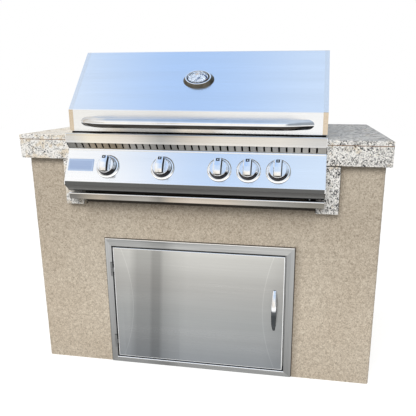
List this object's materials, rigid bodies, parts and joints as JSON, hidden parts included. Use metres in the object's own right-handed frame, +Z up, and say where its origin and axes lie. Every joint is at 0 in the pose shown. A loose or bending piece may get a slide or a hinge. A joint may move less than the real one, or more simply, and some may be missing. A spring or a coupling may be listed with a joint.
{
  "type": "outdoor kitchen island",
  "caption": "Stuccoed outdoor kitchen island with a granite counter, a built-in gas grill with lifting hood, turning knobs and drip tray, and a hinged storage door.",
  "frame": {"origin": "on the floor under the middle of the base", "axes": "+X to the right along the counter, +Y to the back, +Z up"},
  "size_m": [1.22, 0.814, 1.1179],
  "materials": {
    "galvanised": "dull zinc",
    "cement_board": "matt grey",
    "stucco": "sand float, matt",
    "granite": "polished stone",
    "brushed_sheet": "long grain brushed",
    "shaded_sheet": "long grain brushed",
    "liner_sheet": "mill finish",
    "plate": "bare, satin",
    "chrome_trim": "polished",
    "knob_metal": "polished with satin face",
    "polished_tube": "polished",
    "hood_casting": "satin casting",
    "brass": "turned",
    "valve_alloy": "die cast",
    "fire_steel": "heat tinted",
    "ceramic": "porous ceramic",
    "grate_rod": "drawn rod",
    "dial": "printed face",
    "needle": "painted",
    "gauge_glass": "clear",
    "magnet": "moulded"
  },
  "bodies": {
    "island": {"frame_rails": "galvanised", "frame_studs": "galvanised", "board_front": "cement_board", "cement_boards": "cement_board", "stucco_front": "stucco", "stucco_walls": "stucco", "countertop_slab": "granite", "apron_front": "granite", "apron_walls": "granite", "jamb_strips": "granite", "rear_vent": "brushed_sheet", "firebox_sides": "brushed_sheet", "firebox_front": "brushed_sheet", "firebox_rear": "brushed_sheet", "counter_trim": "brushed_sheet", "front_rail": "brushed_sheet", "vent_strip": "brushed_sheet", "control_panel": "brushed_sheet", "panel_valance": "shaded_sheet", "panel_end_caps": "brushed_sheet", "name_plate": "plate", "knob_bezels": "chrome_trim", "gas_manifold": "galvanised", "inlet_fitting": "brass", "valve_bodies": "valve_alloy", "burners": "fire_steel", "heat_plates": "fire_steel", "rear_burner": "ceramic", "cooking_grates": "grate_rod", "warming_rack": "grate_rod", "tray_runners": "galvanised", "door_frame": "brushed_sheet", "hinge_knuckles": "polished_tube", "door_catch": "magnet"},
    "hood": {"hood_skin": "brushed_sheet", "hood_liner": "liner_sheet", "hood_ends": "hood_casting", "hood_handle": "polished_tube", "handle_bolts": "galvanised", "hood_hinge_pins": "polished_tube", "thermometer_case": "chrome_trim", "thermometer_dial": "dial", "thermometer_glass": "gauge_glass"},
    "gauge_needle": {"thermometer_needle": "needle"},
    "drip_tray": {"drip_pan": "brushed_sheet", "tray_front": "brushed_sheet"},
    "door": {"door_leaf": "brushed_sheet", "door_liner": "liner_sheet", "door_handle": "chrome_trim", "hinge_pins": "polished_tube"},
    "stem_1": {"valve_stem_1": "brass"},
    "knob_1": {"knob_1": "knob_metal"},
    "stem_2": {"valve_stem_2": "brass"},
    "knob_2": {"knob_2": "knob_metal"},
    "stem_3": {"valve_stem_3": "brass"},
    "knob_3": {"knob_3": "knob_metal"},
    "stem_4": {"valve_stem_4": "brass"},
    "knob_4": {"knob_4": "knob_metal"},
    "stem_5": {"valve_stem_5": "brass"},
    "knob_5": {"knob_5": "knob_metal"}
  },
  "joints": [
    {"name": "hood_hinge", "type": "hinge", "parent": "island", "child": "hood", "pos_m": [-0.01, 0.159, 1.0659], "axis": [-1, 0, 0], "range_deg": [0, 90]},
    {"name": "thermometer_needle_turn", "type": "hinge", "parent": "hood", "child": "gauge_needle", "pos_m": [-0.01, -0.267, 1.0222], "axis": [0, 0.7423, -0.6701], "range_deg": [0, 270], "stiffness_Nm_per_rad": 0.0004},
    {"name": "drip_tray_slide", "type": "slide", "parent": "island", "child": "drip_tray", "axis": [0, -1, 0], "range_m": [0, 0.35]},
    {"name": "door_hinge", "type": "hinge", "parent": "island", "child": "door", "pos_m": [-0.3197, -0.345, 0.23], "axis": [0, 0, -1], "range_deg": [0, 120]},
    {"name": "knob_1_turn", "type": "hinge", "parent": "island", "child": "stem_1", "pos_m": [-0.2866, -0.39656, 0.74808], "axis": [0, -0.8887, 0.4585], "range_deg": [0, 225]},
    {"name": "knob_1_push", "type": "slide", "parent": "stem_1", "child": "knob_1", "axis": [0, 0.8887, -0.4585], "range_m": [0, 0.003], "stiffness_N_per_m": 600, "springref_m": -0.003},
    {"name": "knob_2_turn", "type": "hinge", "parent": "island", "child": "stem_2", "pos_m": [-0.1022, -0.39656, 0.74808], "axis": [0, -0.8887, 0.4585], "range_deg": [0, 225]},
    {"name": "knob_2_push", "type": "slide", "parent": "stem_2", "child": "knob_2", "axis": [0, 0.8887, -0.4585], "range_m": [0, 0.003], "stiffness_N_per_m": 600, "springref_m": -0.003},
    {"name": "knob_3_turn", "type": "hinge", "parent": "island", "child": "stem_3", "pos_m": [0.0822, -0.39656, 0.74808], "axis": [0, -0.8887, 0.4585], "range_deg": [0, 225]},
    {"name": "knob_3_push", "type": "slide", "parent": "stem_3", "child": "knob_3", "axis": [0, 0.8887, -0.4585], "range_m": [0, 0.003], "stiffness_N_per_m": 600, "springref_m": -0.003},
    {"name": "knob_4_turn", "type": "hinge", "parent": "island", "child": "stem_4", "pos_m": [0.1744, -0.39656, 0.74808], "axis": [0, -0.8887, 0.4585], "range_deg": [0, 225]},
    {"name": "knob_4_push", "type": "slide", "parent": "stem_4", "child": "knob_4", "axis": [0, 0.8887, -0.4585], "range_m": [0, 0.003], "stiffness_N_per_m": 600, "springref_m": -0.003},
    {"name": "knob_5_turn", "type": "hinge", "parent": "island", "child": "stem_5", "pos_m": [0.2666, -0.39656, 0.74808], "axis": [0, -0.8887, 0.4585], "range_deg": [0, 225]},
    {"name": "knob_5_push", "type": "slide", "parent": "stem_5", "child": "knob_5", "axis": [0, 0.8887, -0.4585], "range_m": [0, 0.003], "stiffness_N_per_m": 600, "springref_m": -0.003}
  ]
}
